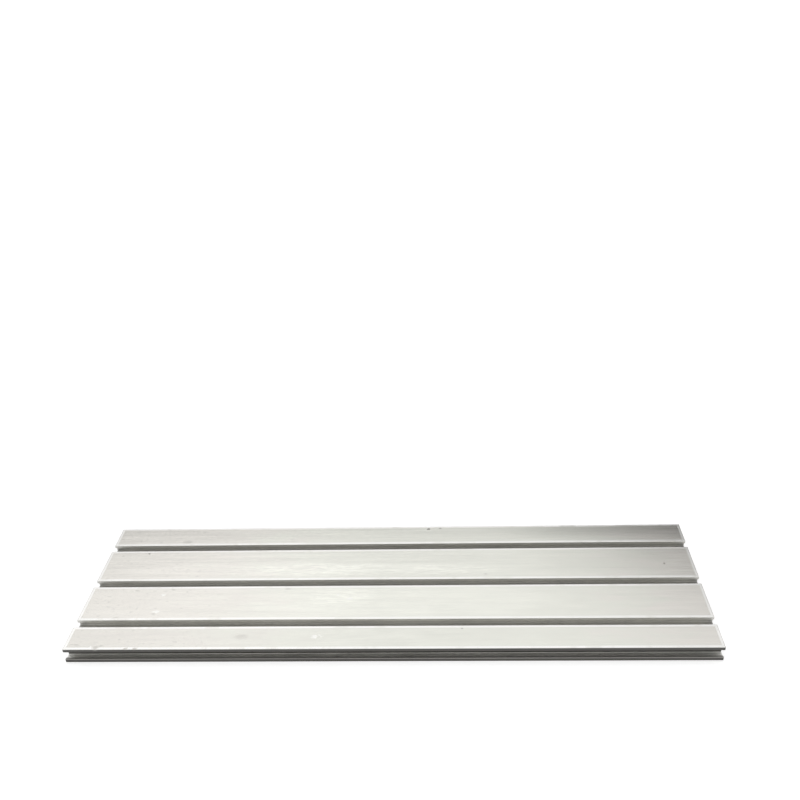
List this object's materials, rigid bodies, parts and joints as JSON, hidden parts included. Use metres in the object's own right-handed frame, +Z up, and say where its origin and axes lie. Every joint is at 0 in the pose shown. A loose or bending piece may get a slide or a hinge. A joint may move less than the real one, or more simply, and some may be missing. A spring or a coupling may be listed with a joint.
{
  "type": "t-slot table plate",
  "caption": "Flat extruded aluminium table plate with T-slots along its top face and a lipped groove along each long side.",
  "frame": {"origin": "middle of the flat underside", "axes": "+X along the slots, +Y across them, +Z up out of the slotted top face"},
  "size_m": [0.55, 0.16, 0.015],
  "materials": {
    "plate": "mill finish, fine lengthwise streaks from the die"
  },
  "bodies": {
    "root": {"t_slot_plate": "plate"}
  },
  "joints": []
}
